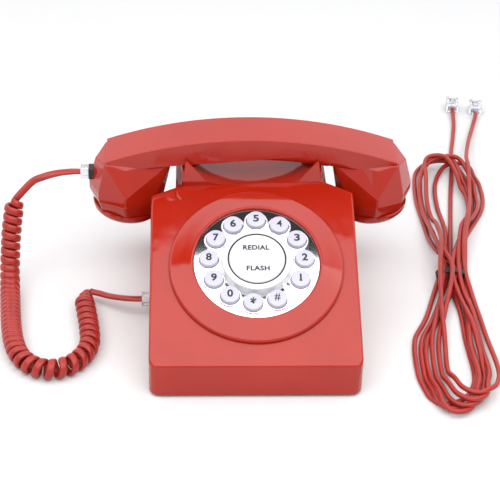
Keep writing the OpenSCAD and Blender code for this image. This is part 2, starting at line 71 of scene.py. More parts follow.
def aim_camera():
    """Looks down on the dial from the front, a little from the left."""
    azimuth, elevation, roll = math.radians(-3), math.radians(34), math.radians(1.7)
    level_reach = math.cos(elevation)
    back = Vector((math.sin(azimuth) * level_reach, -math.cos(azimuth) * level_reach, math.sin(elevation)))
    level = Vector((math.cos(azimuth), math.sin(azimuth), 0))
    rise = back.cross(level)
    right = level * math.cos(roll) + rise * math.sin(roll)
    up = rise * math.cos(roll) - level * math.sin(roll)
    place = Vector((0.003, 0.00285, 0.045)) + back
    data = bpy.data.cameras.new("front_camera")
    data.lens = 113.4
    data.sensor_width = 36
    data.shift_x = -0.0146
    data.shift_y = 0.0022
    data.clip_end = 20
    camera = bpy.data.objects.new("front_camera", data)
    turn = Matrix((right, up, back)).transposed().to_4x4()
    camera.matrix_world = Matrix.Translation(place) @ turn
    bpy.context.scene.collection.objects.link(camera)
    bpy.context.scene.camera = camera


aim_camera()


# ---------- Shader maths ----------

class Wire:
    """One output of a node, used as a number in shader maths."""

    def __init__(self, finish, socket):
        self.finish = finish
        self.socket = socket

    def maths(self, operation, first, *rest):
        return self.finish.node("ShaderNodeMath", {"operation": operation}, first, *rest)

    def __add__(self, other):
        return self.maths("ADD", self, other)

    def __radd__(self, other):
        return self.maths("ADD", other, self)

    def __mul__(self, other):
        return self.maths("MULTIPLY", self, other)

    def __rmul__(self, other):
        return self.maths("MULTIPLY", other, self)

    def clamped(self, low, high):
        """This number carried from low..high to 0..1 and held there."""
        return self.finish.node("ShaderNodeMapRange", {"clamp": True}, self, low, high, 0.0, 1.0)


class Finish:
    """A material, built up node by node in front of its Principled shader."""

    def __init__(self, name, **constants):
        self.material = bpy.data.materials.new(name)
        self.material.use_nodes = True
        self.tree = self.material.node_tree
        self.shader = self.tree.nodes["Principled BSDF"]
        for socket, value in constants.items():
            self.shader.inputs[socket.replace("_", " ")].default_value = value

    def node(self, kind, settings, *values, out=0, **named):
        made = self.tree.nodes.new(kind)
        for setting, value in settings.items():
            if setting == "stops":
                for stop, (position, colour) in zip(made.color_ramp.elements, value):
                    stop.position = position
                    stop.color = colour
            else:
                setattr(made, setting, value)
        for socket, value in [*enumerate(values), *named.items()]:
            self.put(made.inputs[socket], value)
        return Wire(self, made.outputs[out])

    def put(self, socket, value):
        if isinstance(value, Wire):
            self.tree.links.new(value.socket, socket)
        elif value is not None:
            socket.default_value = value

    def feed(self, socket, value):
        self.put(self.shader.inputs[socket], value)

    def place(self, *stretch):
        """Object coordinates in millimetres, stretched along each axis."""
        where = self.node("ShaderNodeTexCoord", {}, out=3)
        size = [1000 * s for s in (stretch or (1, 1, 1))]
        return self.node("ShaderNodeVectorMath", {"operation": "MULTIPLY"}, where, size)

    def noise(self, where, scale, detail=2.0, rough=0.5):
        return self.node("ShaderNodeTexNoise", {}, Vector=where, Scale=scale, Detail=detail, Roughness=rough)

    def mix(self, factor, a, b):
        """Colour a where the factor is 0, colour b where it is 1."""
        made = self.node("ShaderNodeMix", {"data_type": "RGBA"}, factor, out=2)
        mixer = made.socket.node
        self.put(mixer.inputs[6], a)
        self.put(mixer.inputs[7], b)
        return made

    def drift(self, where, scale, a, b):
        """Colour that wanders slowly from a to b over the piece."""
        return self.mix(self.noise(where, scale).clamped(0.3, 0.7), a, b)

    def bump(self, height, strength, distance):
        """Relief from a height of 0..1, its depth in metres."""
        made = self.node("ShaderNodeBump", {}, Strength=strength, Distance=distance, Height=height)
        self.feed("Normal", made)


def rgb(r, g, b):
    return (r, g, b, 1.0)


def shade(colour, factor):
    """The colour made darker by a factor."""
    return rgb(*[c * factor for c in colour])


def moulded_gloss(name, colour, dark):
    """Hard polished moulding: slow waves in the skin, faint haze and a slight drift of colour."""
    f = Finish(name, IOR=1.5)
    where = f.place()
    slow = f.noise(where, 0.035)
    haze = f.noise(where, 0.6, detail=4.0)
    f.feed("Base Color", f.mix(slow.clamped(0.3, 0.7), dark, colour))
    f.feed("Roughness", 0.06 + haze.clamped(0.35, 0.75) * 0.05)
    f.bump(f.noise(where, 0.05) + haze * 0.04, 0.5, 0.0003)
    return f.material


def white_moulding(name, colour):
    """Cool white moulding, satin under a fine grain."""
    f = Finish(name, IOR=1.49)
    where = f.place()
    f.feed("Base Color", f.drift(where, 0.25, shade(colour, 0.95), rgb(*colour)))
    f.feed("Roughness", 0.22 + f.noise(where, 1.5, detail=3.0) * 0.12)
    f.bump(f.noise(where, 3.0), 0.2, 0.00003)
    return f.material


def polished_chrome(name):
    """Bright plating that is a little hazy in places."""
    f = Finish(name, Metallic=1.0)
    where = f.place()
    f.feed("Base Color", f.drift(where, 0.1, rgb(0.88, 0.89, 0.92), rgb(0.95, 0.95, 0.97)))
    f.feed("Roughness", 0.05 + f.noise(where, 0.8, detail=4.0) * 0.06)
    f.bump(f.noise(where, 0.08), 0.2, 0.00005)
    return f.material


def brushed_steel(name, colour=(0.55, 0.56, 0.58)):
    """Bare metal with a grain along X."""
    f = Finish(name, Metallic=1.0)
    where = f.place(0.2, 3, 3)
    f.feed("Base Color", f.drift(where, 0.5, shade(colour, 0.8), rgb(*colour)))
    f.feed("Roughness", 0.28 + f.noise(where, 2.0, detail=3.0) * 0.2)
    f.bump(f.noise(where, 2.0), 0.2, 0.00003)
    return f.material


def matt_plastic(name, colour, rough=0.5):
    """Plain moulding with a dull, finely grained skin."""
    f = Finish(name, IOR=1.5)
    where = f.place()
    grain = f.noise(where, 4.0, detail=3.0)
    f.feed("Base Color", f.drift(where, 0.2, shade(colour, 0.8), rgb(*colour)))
    f.feed("Roughness", rough + grain * 0.15)
    f.bump(grain, 0.35, 0.00006)
    return f.material


def etched_board(name):
    """Circuit board: green lacquer over fine tracks."""
    f = Finish(name, IOR=1.5)
    where = f.place()
    bricks = f.node("ShaderNodeTexBrick", {"offset": 0.5}, Vector=where, Scale=0.25, out=1)
    track = bricks.clamped(0.2, 0.8)
    f.feed("Base Color", f.mix(track, rgb(0.01, 0.12, 0.04), rgb(0.02, 0.22, 0.07)))
    f.feed("Roughness", 0.3 + f.noise(where, 2.0) * 0.15)
    f.bump(track, 0.3, 0.00005)
    return f.material


def clear_moulding(name):
    """Clear plastic of the cord plugs."""
    f = Finish(name, IOR=1.5, Transmission_Weight=0.8)
    where = f.place()
    f.feed("Base Color", f.drift(where, 0.4, rgb(0.86, 0.88, 0.93), rgb(0.95, 0.96, 0.99)))
    f.feed("Roughness", 0.06 + f.noise(where, 1.2, detail=3.0) * 0.08)
    f.bump(f.noise(where, 0.9), 0.3, 0.00008)
    return f.material


def cord_jacket(name, colour, dark):
    """Soft PVC: satin, a little uneven in shade along the run."""
    f = Finish(name, IOR=1.5)
    where = f.place()
    fine = f.noise(where, 2.5, detail=3.0)
    f.feed("Base Color", f.drift(where, 0.12, dark, colour))
    f.feed("Roughness", 0.27 + fine * 0.14)
    f.bump(fine, 0.25, 0.00008)
    return f.material


RED = moulded_gloss("red_gloss", rgb(0.37, 0.014, 0.004), rgb(0.34, 0.012, 0.0035))
CORD_RED = cord_jacket("red_cord_jacket", rgb(0.36, 0.018, 0.01), rgb(0.31, 0.013, 0.008))
PEARL = white_moulding("pearl_white", (0.5, 0.49, 0.58))
DISC_WHITE = white_moulding("disc_white", (0.62, 0.62, 0.64))
CHROME = polished_chrome("polished_chrome")
STEEL = brushed_steel("brushed_steel")
BLACK = matt_plastic("black_plastic", (0.018, 0.018, 0.02))
RUBBER = matt_plastic("rubber", (0.03, 0.03, 0.032), 0.7)
SILICONE = matt_plastic("silicone", (0.5, 0.52, 0.56), 0.55)
BOARD = etched_board("circuit_board")
CLEAR = clear_moulding("clear_plug")
GILT = brushed_steel("gilt_contacts", (0.75, 0.5, 0.2))
INK = matt_plastic("legend_ink", (0.012, 0.012, 0.016), 0.4)

SLOT_FINISH = {
    "red_gloss": RED, "chrome": CHROME, "pearl_white": PEARL, "black_plastic": BLACK,
    "steel": STEEL, "rubber": RUBBER, "silicone": SILICONE, "circuit_board": BOARD,
    "red_cord": CORD_RED, "clear_plug": CLEAR,
}
for part in frame["record"]["subparts"]:
    mesh = NODES[part["node"]].data
    mesh.materials.clear()
    mesh.materials.append(SLOT_FINISH[part["material_slot"]])


# ---------- Mesh help ----------

def shown(name, mesh, body, finish=None):
    """Puts a mesh in the scene as a piece that rides on a body."""
    piece = bpy.data.objects.new(name, mesh)
    bpy.context.scene.collection.objects.link(piece)
    if finish is not None:
        mesh.materials.clear()
        mesh.materials.append(finish)
    if body is not None:
        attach(piece, body)
    return piece


def to_mesh(bm, name, place=None, sharp=32):
    """Mesh from a bmesh, smooth but for edges that turn by more than the sharp angle."""
    bmesh.ops.recalc_face_normals(bm, faces=bm.faces)
    if place is not None:
        bm.transform(place)
    mesh = bpy.data.meshes.new(name)
    bm.to_mesh(mesh)
    bm.free()
    mesh.polygons.foreach_set("use_smooth", [True] * len(mesh.polygons))
    mesh.set_sharp_from_angle(angle=math.radians(sharp))
    return mesh


# ---------- Solids, in millimetres ----------

def prism(outline, low, high, axis="Z"):
    """Solid that carries an outline along one axis, from low to high."""
    bm = bmesh.new()
    base = bm.faces.new([bm.verts.new((u, v, low)) for u, v in outline])
    grown = bmesh.ops.extrude_face_region(bm, geom=[base])["geom"]
    for item in grown:
        if isinstance(item, bmesh.types.BMVert):
            item.co.z = high
    turns = {"X": ((0, 0, 1), (1, 0, 0), (0, 1, 0)), "Y": ((1, 0, 0), (0, 0, 1), (0, 1, 0))}
    if axis in turns:
        bm.transform(Matrix(turns[axis]).to_4x4())
    bmesh.ops.recalc_face_normals(bm, faces=bm.faces)
    return bm


def slab(x0, x1, y0, y1, z0, z1):
    """Plain block between two limits on each axis."""
    return prism([(x0, y0), (x1, y0), (x1, y1), (x0, y1)], z0, z1)


def hull(points):
    """Smallest convex solid round the points, its flat sides in one piece each."""
    bm = bmesh.new()
    for point in points:
        bm.verts.new(point)
    bmesh.ops.convex_hull(bm, input=bm.verts)
    bmesh.ops.dissolve_limit(bm, angle_limit=math.radians(0.5), verts=bm.verts, edges=bm.edges)
    bmesh.ops.recalc_face_normals(bm, faces=bm.faces)
    return bm


def turned(profile, steps=96):
    """Solid of revolution about Z from a profile of radius and height."""
    bm = bmesh.new()
    verts = [bm.verts.new((r, 0, z)) for r, z in profile]
    edges = [bm.edges.new(pair) for pair in zip(verts, verts[1:])]
    if profile[0][0] > 0:
        edges.append(bm.edges.new((verts[-1], verts[0])))
    bmesh.ops.spin(
        bm, geom=verts + edges, cent=(0, 0, 0), axis=(0, 0, 1), angle=math.tau, steps=steps, use_merge=True,
    )
    bmesh.ops.remove_doubles(bm, verts=bm.verts, dist=0.0005)
    bmesh.ops.recalc_face_normals(bm, faces=bm.faces)
    return bm


def together(*solids):
    """Several closed solids in one mesh."""
    mesh = bpy.data.meshes.new("gathered")
    whole = bmesh.new()
    for bm in solids:
        bm.to_mesh(mesh)
        whole.from_mesh(mesh)
        bm.free()
    bpy.data.meshes.remove(mesh)
    return whole


def carved(first, *steps):
    """The first solid joined with, cut by or cut down to others, in turn."""
    objects = []
    for bm in [first, *[solid for _, solid in steps]]:
        mesh = bpy.data.meshes.new("blank")
        bm.to_mesh(mesh)
        bm.free()
        objects.append(bpy.data.objects.new("blank", mesh))
        bpy.context.scene.collection.objects.link(objects[-1])
    for (operation, _), tool in zip(steps, objects[1:]):
        cut = objects[0].modifiers.new("cut", "BOOLEAN")
        cut.operation = operation
        cut.object = tool
        cut.solver = "EXACT"
    seen = objects[0].evaluated_get(bpy.context.evaluated_depsgraph_get())
    mesh = bpy.data.meshes.new_from_object(seen)
    bm = bmesh.new()
    bm.from_mesh(mesh)
    for thing in objects:
        bpy.data.meshes.remove(thing.data)
    bpy.data.meshes.remove(mesh)
    return bm


def eased(bm, width, segments=3, least=28, within=None):
    """Rounds the outward edges that turn by more than the least angle."""
    bmesh.ops.remove_doubles(bm, verts=bm.verts, dist=0.02)
    bmesh.ops.dissolve_limit(bm, angle_limit=math.radians(1), verts=bm.verts, edges=bm.edges)
    edges = [
        e for e in bm.edges
        if len(e.link_faces) == 2 and e.is_convex and e.calc_face_angle(0) > math.radians(least)
        and (within is None or within((e.verts[0].co + e.verts[1].co) / 2))
    ]
    bmesh.ops.bevel(
        bm, geom=edges, offset=width, offset_type="OFFSET", segments=segments, profile=0.5,
        affect="EDGES", clamp_overlap=False, loop_slide=True, material=-1,
    )
    return bm


def finished(bm, name, body, finish, node=None, place=None, sharp=32, even_faces=True):
    """Scales a solid from millimetres and shows it, in place of a CAD node."""
    mesh = to_mesh(bm, name, (place or Matrix()) @ Matrix.Scale(MM, 4), sharp)
    piece = shown(name, mesh, body, finish)
    if even_faces:
        piece.modifiers.new("even_faces", "WEIGHTED_NORMAL").keep_sharp = True
    if node:
        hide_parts(node)
    return piece


def round_plan(x0, x1, y0, y1, r, steps=6):
    """Rectangle with rounded corners, as points."""
    points = []
    corners = ((x1 - r, y1 - r, 0), (x0 + r, y1 - r, 90), (x0 + r, y0 + r, 180), (x1 - r, y0 + r, 270))
    for cx, cy, start in corners:
        for k in range(steps + 1):
            a = math.radians(start + 90 * k / steps)
            points.append((cx + r * math.cos(a), cy + r * math.sin(a)))
    return points


# ---------- Housing and cradle ----------

FRONT_TOP = (-86.8, 22.8)              # upper edge of the front wall
SADDLE_HALF = 41                       # saddle's dip, across and down
SADDLE_DIP = 10.9
SADDLE_R = (SADDLE_HALF ** 2 + SADDLE_DIP ** 2) / (2 * SADDLE_DIP)
SADDLE_LOW = 73.5                      # lowest point of the saddle


def face_height(y):
    return FRONT_TOP[1] + (y - FRONT_TOP[0]) * math.tan(SLOPE)


def half_space(a, b, c, limits=None):
    """Block that fills everything above the plane through three points, within limits if given."""
    a, b, c = Vector(a), Vector(b), Vector(c)
    up = (b - a).cross(c - a).normalized()
    up = up if up.z > 0 else -up
    along = (b - a).normalized()
    bm = slab(-90, 90, -90, 90, 0, 60)
    bm.transform(Matrix.Translation(a) @ Matrix((along, up.cross(along), up)).transposed().to_4x4())
    bmesh.ops.recalc_face_normals(bm, faces=bm.faces)
    return carved(bm, ("INTERSECT", slab(*limits))) if limits else bm


def housing_shell():
    """Wedge with a shield-shaped face, low shoulders behind it and a neck that carries the cradle."""
    outline = [(-88, 2), FRONT_TOP, (29, face_height(29)), (31, 70), (80, 70), (88, 34), (88, 2)]
    shield_side = [*outline[:2], (40, face_height(40)), (41, 60), (41, 2)]
    plan = round_plan(-HALF_WIDTH, HALF_WIDTH, -88, 88, 7)
    low = prism(plan, 0, 34)
    front_corners = [p for p in plan if p[1] < 0]
    back_edge = [(HALF_WIDTH, 27), (47, 34.6), (-47, 34.6), (-HALF_WIDTH, 27)]
    shield = carved(
        prism(shield_side, -70, 70, "X"), ("INTERSECT", prism([*front_corners, *back_edge], 0, 90)),
    )
    for side in (-1, 1):
        slant = half_space(
            (side * HALF_WIDTH, 17.5, face_height(17.5)), (side * 14, 28.5, face_height(28.5)),
            (side * 47, 34.6, face_height(34.6) - 3.6),
        )
        shield = carved(shield, ("DIFFERENCE", slant))
    neck = prism(round_plan(-49, 49, 20, 87, 6), 0, 90)
    rear = carved(neck, ("UNION", low), ("INTERSECT", prism(outline, -70, 70, "X")))
    bm = eased(carved(shield, ("UNION", rear)), 1.8, 3, 25, lambda p: p.z > 4)
    front_wall = [(-85.4, 0), (-84.2, 19.4)]
    hollow_side = [(28, face_height(28) - 3), (33, 67.4), (77.4, 67.4), (85.4, 31.4), (85.4, 0)]
    flank_side = [(18, face_height(18) - 3), (18, 31.4), (85.4, 31.4), (85.4, 0)]
    dial_hole = turned([(0, -20), (44, -20), (44, 20), (0, 20)])
    dial_hole.transform(Matrix.Translation(DIAL) @ FACE_TURN)
    openings = (
        prism([*front_wall, *hollow_side], -46.4, 46.4, "X"),
        prism([*front_wall, *flank_side], -61.9, 61.9, "X"),
        dial_hole,
        slab(-66, -61, -7.1, 1.1, 8.4, 15.6),     # handset cord's plug, left side
        slab(-30.4, -17.6, 84, 90, 7.4, 17),      # line plug, back
        slab(61, 66, 35, 45, 12, 16),             # ringer switch, right side
    )
    bm = carved(bm, *[("DIFFERENCE", opening) for opening in openings])
    finished(bm, "housing_shell", "base", RED, "housing")


def horn_points(side, back, *points):
    """Points given for the front right horn, carried to the horn on this side, front or back."""
    return [(side * x, HANDSET_Y + back * (HANDSET_Y - y), z) for x, y, z in points]


def cradle_saddle():
    """Saddle between four horns, each a three-sided peak, with a hole for each plunger."""
    block = slab(-45, 45, 34, 75, 69.6, 84.4)
    trough = turned([(0, -150), (SADDLE_R, -150), (SADDLE_R, 150), (0, 150)], 160)
    lying = Matrix.Rotation(math.pi / 2, 4, "X")
    trough.transform(Matrix.Translation((0, 0, SADDLE_LOW + SADDLE_R)) @ lying)
    bm = carved(block, ("DIFFERENCE", trough))
    for side in (-1, 1):
        for back in (-1, 1):
            across = sorted((0, side * 60))
            deep = sorted((HANDSET_Y, HANDSET_Y + back * 40))
            rim = horn_points(side, back, (24, 33.2, 73), (45.4, 33, 71.5), (42, 36.2, 91))
            foot = horn_points(side, back, (24, 33.2, 72.5), (45, 33, 70.5), (45, 37.8, 70.5), (26, 37.8, 72))
            peak = horn_points(side, back, (41.3, 36, 91), (42.6, 36, 91), (42.6, 37.6, 91), (41.3, 37.6, 91))
            bm = carved(bm, ("DIFFERENCE", half_space(*rim, (*across, *deep, 60, 120))))
            bm = carved(bm, ("UNION", hull([*foot, *peak])))
    bm = eased(bm, 0.7, 2, 25, lambda p: p.z > 71)
    for side in (-1, 1):
        hole = turned([(0, 60), (3.9, 60), (3.9, 100), (0, 100)], 48)
        hole.transform(Matrix.Translation((side * 36, HANDSET_Y, 0)))
        bm = carved(bm, ("DIFFERENCE", hole))
    finished(bm, "cradle_saddle", "base", RED, "cradle")


housing_shell()
cradle_saddle()


# ---------- Handset ----------

ARCH_MIDDLE = Vector((0, 0, HANDLE_TOP - HANDLE_R))


def arch_height(x, drop):
    """Height of the handle's arch, or of a line a little below it."""
    return ARCH_MIDDLE.z + math.sqrt((HANDLE_R - drop) ** 2 - x * x)


def arched_bar(top, bottom, half, depth):
    """Bar that follows the arch between two drops below it."""
    steps = 28
    xs = [-half + 2 * half * i / steps for i in range(steps + 1)]
    outline = [(x, arch_height(x, top)) for x in xs] + [(x, arch_height(x, bottom)) for x in reversed(xs)]
    return prism(outline, HANDSET_Y - depth / 2, HANDSET_Y + depth / 2, "Y")


def cup_solid(side):
    """Eight-sided cup that closes in a little at the rim, with its web up to the handle."""
    points = []
    rings = ((22.3, 22.3, 51, 8), (24.5, 24.5, 59, 4), (24.5, 24.5, 66, 0), (20, 17.2, 83, 0))
    for across, deep, height, tilt in rings:
        turn = Matrix.Rotation(math.radians(tilt), 3, "Y")
        for k in range(8):
            a = math.radians(45 * k)
            p = turn @ Vector((across * math.cos(a), deep * math.sin(a), 0))
            points.append((p.x - CUP_X, HANDSET_Y + p.y, height + p.z))
    for x, half_depth in ((-94, 15.5), (-51.5, 11)):
        for y in (HANDSET_Y - half_depth, HANDSET_Y + half_depth):
            points.append((x, y, 87))
    return hull([(-side * x, y, z) for x, y, z in points])


def handset_body():
    """Arched handle with a flat front, and a cup hanging from each end."""
    section = [(70, HANDLE_TOP), (39, HANDLE_TOP)]
    corner = 5.2
    for cy, start in ((44.2, 180), (64.8, 270)):
        for a in (math.radians(start + step) for step in range(0, 91, 9)):
            section.append((cy + corner * math.cos(a), 94.2 + corner * math.sin(a)))
    bar = bmesh.new()
    face = bar.faces.new([bar.verts.new((0, y, z)) for y, z in section])
    reach = math.asin(94 / HANDLE_R)
    bmesh.ops.rotate(bar, cent=ARCH_MIDDLE, matrix=Matrix.Rotation(-reach, 3, "Y"), verts=bar.verts)
    bmesh.ops.spin(bar, geom=[face], cent=ARCH_MIDDLE, axis=(0, 1, 0), angle=2 * reach, steps=26)
    bmesh.ops.recalc_face_normals(bar, faces=bar.faces)
    bm = carved(bar, ("UNION", cup_solid(-1)), ("UNION", cup_solid(1)))
    bm = eased(bm, 0.9, 3, 12)
    channel = arched_bar(2.6, 18, 49, 25.8)
    plug_slot = slab(-109, -97, 50.4, 58.6, 68.9, 76.1)
    hollows = [("DIFFERENCE", channel), ("DIFFERENCE", plug_slot)]
    for side in (-1, 1):
        bore = turned([(0, -3), (19.5, -3), (19.5, 9), (0, 9)], 64)
        tilt = Matrix.Rotation(math.radians(-side * 8), 4, "Y")
        bore.transform(Matrix.Translation((side * CUP_X, HANDSET_Y, 51)) @ tilt)
        hollows.append(("DIFFERENCE", bore))
    bm = carved(bm, *hollows)
    finished(bm, "handset_body", "handset", RED, "handset_shell")


handset_body()


# ---------- Dial ----------

def legend(name, text, size, width, place, body, weight=0.03):
    """Printed letters a fraction of a millimetre thick, centred, and as wide as asked."""
    curve = bpy.data.curves.new(name, "FONT")
    curve.body = text
    curve.size = size
    curve.offset = weight * size
    curve.space_character = 1.08
    curve.extrude = 0.02
    curve.resolution_u = 4
    letters = bpy.data.objects.new(name, curve)
    bpy.context.scene.collection.objects.link(letters)
    seen = letters.evaluated_get(bpy.context.evaluated_depsgraph_get())
    mesh = bpy.data.meshes.new_from_object(seen)
    bpy.data.curves.remove(curve)
    xs = [v.co.x for v in mesh.vertices]
    ys = [v.co.y for v in mesh.vertices]
    fit = width / (max(xs) - min(xs)) if width else 1.0
    middle = Matrix.Translation((-(max(xs) + min(xs)) / 2, -(max(ys) + min(ys)) / 2, 0))
    mesh.transform(place @ Matrix.Scale(MM, 4) @ Matrix.Diagonal((fit, 1, 1, 1)) @ middle)
    shown(name, mesh, body, INK)


def key_spot(i):
    a = math.radians(FIRST_KEY + i * KEY_PITCH)
    return Vector((KEY_CIRCLE * math.cos(a), KEY_CIRCLE * math.sin(a), 0))


def on_dial(x, y, z):
    return ON_FACE @ Matrix.Translation(Vector((x, y, z)) * MM)


def dial_disc():
    """Bright plate, level under the keys and falling off outside them, with a lip round each key."""
    plate = turned([
        (17.9, 3.4), (17.9, 4.9), (18.2, 5), (30.4, 5), (31.6, 4.97), (33, 4.88), (38.7, 4.35), (38.95, 4.1),
        (38.95, 3.4),
    ], 128)
    lip_profile = [
        (6.12, 3.5), (6.12, 5.5), (6.2, 5.66), (6.4, 5.76), (6.75, 5.74), (7.1, 5.55), (7.3, 5.2), (7.3, 3.5),
    ]
    holes = []
    lips = []
    for i in range(12):
        hole = turned([(0, 0), (6.15, 0), (6.15, 9), (0, 9)], 48)
        hole.transform(Matrix.Translation(key_spot(i)))
        holes.append(("DIFFERENCE", hole))
        lip = turned(lip_profile, 48)
        lip.transform(Matrix.Translation(key_spot(i)))
        lips.append(lip)
    plate = carved(plate, *holes)
    disc = together(plate, *lips)
    finished(disc, "dial_disc", "base", CHROME, "dial_plate", ON_FACE, even_faces=False)


def push_keys():
    """Twelve round keys, each flanged below the plate and printed on top."""
    profile = [
        (0, 1.2), (6.8, 1.2), (6.8, 2.4), (5.9, 2.4), (5.86, 7.5), (5.78, 7.95), (5.55, 8.25), (5.2, 8.38),
        (3, 8.44), (0, 8.46),
    ]
    signs = {"star": "*", "hash": "#"}
    sizes_and_widths = {"*": (9.5, 3.8), "1": (6.8, None)}
    weights = {"4": 0.008, "#": 0.014, "*": 0.022}
    for i, label in enumerate([*"1234567890", "star", "hash"]):
        spot = key_spot(i)
        body = "button_" + label
        seat = on_dial(spot.x, spot.y, 0)
        key = turned(profile, 64)
        finished(key, "push_key_" + label, body, PEARL, "key_" + label, seat, 50)
        text = signs.get(label, label)
        size, width = sizes_and_widths.get(text, (6.8, 3.6))
        print_spot = on_dial(spot.x, spot.y + 0.4, KEY_TOP)
        legend("legend_" + label, text, size, width, print_spot, body, weights.get(text, 0.034))
        if text == "1":
            foot = slab(-1.1, 1.1, -2.3, -1.75, 0, 0.03)
            finished(foot, "legend_1_foot", body, INK, None, print_spot)


def middle_button():
    """Round button that rocks inside a white ring, with black bands on the ring's inner wall and the disc's
    side as painted shade in the gap between the two.
    """
    rocker = "redial_flash_button"
    # The two black bands are painted shade: they stand in for the shadow deep in the gap between ring and
    # disc.
    gap_shade_wall = turned([(17.98, 4.6), (17.98, 9.1), (18.1, 9.1), (18.1, 4.6)], 128)
    finished(gap_shade_wall, "middle_gap_painted_shade", "base", BLACK, None, ON_FACE)
    side = turned([(17.2, 4.2), (17.2, 8.95), (17.36, 8.9), (17.36, 4.2)], 128)
    finished(side, "middle_disc_side_painted_shade", rocker, BLACK, None, ON_FACE)
    ring = turned([
        (18.05, 4.5), (18.05, 9.2), (18.2, 9.4), (18.6, 9.5), (20.8, 9.45), (21.5, 9.2), (21.85, 8.7),
        (21.95, 8), (22, 4.5),
    ], 128)
    finished(ring, "middle_ring", "base", DISC_WHITE, "centre_ring", ON_FACE)
    disc = turned([
        (0, 0.2), (16.3, 0.2), (17, 1.2), (17.3, 4), (17.3, 8.7), (17.15, 9.3), (16.75, 9.75), (16, 9.98),
        (10, 10.25), (0, 10.4),
    ], 128)
    finished(disc, "middle_disc", rocker, DISC_WHITE, "centre_rocker", ON_FACE)
    legend("legend_redial", "REDIAL", 4.5, 16.2, on_dial(-0.4, 7.4, 10.36), rocker)
    legend("legend_flash", "FLASH", 4.5, 14.1, on_dial(0.5, -7.4, 10.36), rocker)


def collar_band():
    """Raised red collar, highest at the rounded lip that looks down on the plate."""
    profile = [
        (39.2, 2.3), (39.2, 5.1), (39.3, 5.5), (39.6, 5.8), (40, 5.92), (40.6, 5.85), (41.4, 5.6), (46, 4.5),
        (52.6, 2.95), (53.4, 2.65), (54, 2.15), (54.3, 1.5), (54.4, 0.8), (54.35, 0.05), (43.7, 0.05),
        (43.7, -4), (39.3, -4), (39.3, 2.2),
    ]
    finished(turned(profile, 160), "collar_band", "base", RED, "dial_collar", ON_FACE, 40)


dial_disc()
push_keys()
middle_button()
collar_band()


# ---------- Cords ----------

def flowing(points, per=12):
    """A smooth run of points through the given ones."""
    p = [Vector(q) for q in points]
    p = [2 * p[0] - p[1], *p, 2 * p[-1] - p[-2]]
    run = []
    for a, b, c, d in zip(p, p[1:], p[2:], p[3:]):
        square = 2 * a - 5 * b + 4 * c - d
        cube = 3 * b - a - 3 * c + d
        for i in range(per):
            t = i / per
            run.append(0.5 * (2 * b + (c - a) * t + square * t ** 2 + cube * t ** 3))
    return run + [p[-2].copy()]


def even(points, step):
    """The same run with its points a fixed step apart."""
    out, carry = [points[0].copy()], 0.0
    for a, b in zip(points, points[1:]):
        gap = (b - a).length
        while carry + gap >= step:
            t = (step - carry) / gap
            a = a.lerp(b, t)
            out.append(a.copy())
            gap = (b - a).length
            carry = 0.0
        carry += gap
    return out


def run_length(points):
    return sum((b - a).length for a, b in zip(points, points[1:]))


def jacket(name, points, flats, width, thick, sides=12):
    """Tube along the points: width across, thick along each point's flat direction."""
    squareness = 2.6
    bm = bmesh.new()
    rings = []
    for i, point in enumerate(points):
        along = (points[min(i + 1, len(points) - 1)] - points[max(i - 1, 0)]).normalized()
        flat = (flats[i] - along * flats[i].dot(along)).normalized()
        across = along.cross(flat)
        ring = []
        for k in range(sides):
            a = math.tau * (k + 0.5) / sides
            c, s = math.cos(a), math.sin(a)
            swell = (abs(c) ** squareness + abs(s) ** squareness) ** (-1 / squareness)
            corner = across * (c * swell * width / 2) + flat * (s * swell * thick / 2)
            ring.append(bm.verts.new(point + corner))
        rings.append(ring)
    for near, far in zip(rings, rings[1:]):
        for k in range(sides):
            j = (k + 1) % sides
            bm.faces.new((near[k], near[j], far[j], far[k]))
    bm.faces.new(rings[0][::-1])
    bm.faces.new(rings[-1])
    return to_mesh(bm, name, sharp=60)


# The handset cord's route in millimetres: out of the handset, along the middle of the curl, and into
# the housing's side. Its width and thickness are in metres.
HANDSET_LEAD = [
    (-110.5, 54.5, 72.5), (-117, 54.4, 72.4), (-126, 54, 71.4), (-135, 53.2, 69), (-142.5, 52.2, 65.5),
]
COIL_AXIS = [
    (-152.5, 46, 56.8), (-154, 43, 50), (-155.5, 38, 40), (-156.5, 32, 28), (-157, 25, 16), (-156.5, 16, 9),
    (-155.5, 5, 6.5), (-154, -9, 6.5), (-152, -25, 6.5), (-149, -41, 6.5), (-144, -55, 6.5),
    (-136, -64.5, 6.5), (-125, -68.5, 6.5), (-113, -64.5, 6.5), (-105, -54, 6.5), (-102, -42, 6.5),
    (-103, -28, 6.5), (-105, -14, 6.5), (-107, -2, 6.5), (-108.5, 8, 6.5),
]
BASE_LEAD = [
    (-106, 11.5, 7), (-100, 10, 7.5), (-92, 5, 8.5), (-83, 0, 10.5), (-76, -2.6, 11.8), (-70.5, -3, 12),
]
FLAT_WIDTH = 0.0048
FLAT_THICK = 0.0027


def coil_pitch(share):
    """Millimetres from turn to turn: closed up a fifth of the way along, drawn out past the middle."""
    if share < 0.2:
        return 5.5
    if share < 0.3:
        return 5.5 - (share - 0.2) * 12
    if share < 0.46:
        return 4.3
    if share < 0.56:
        return 4.3 + (share - 0.46) * 24
    return 6.7 if share < 0.75 else 6.4


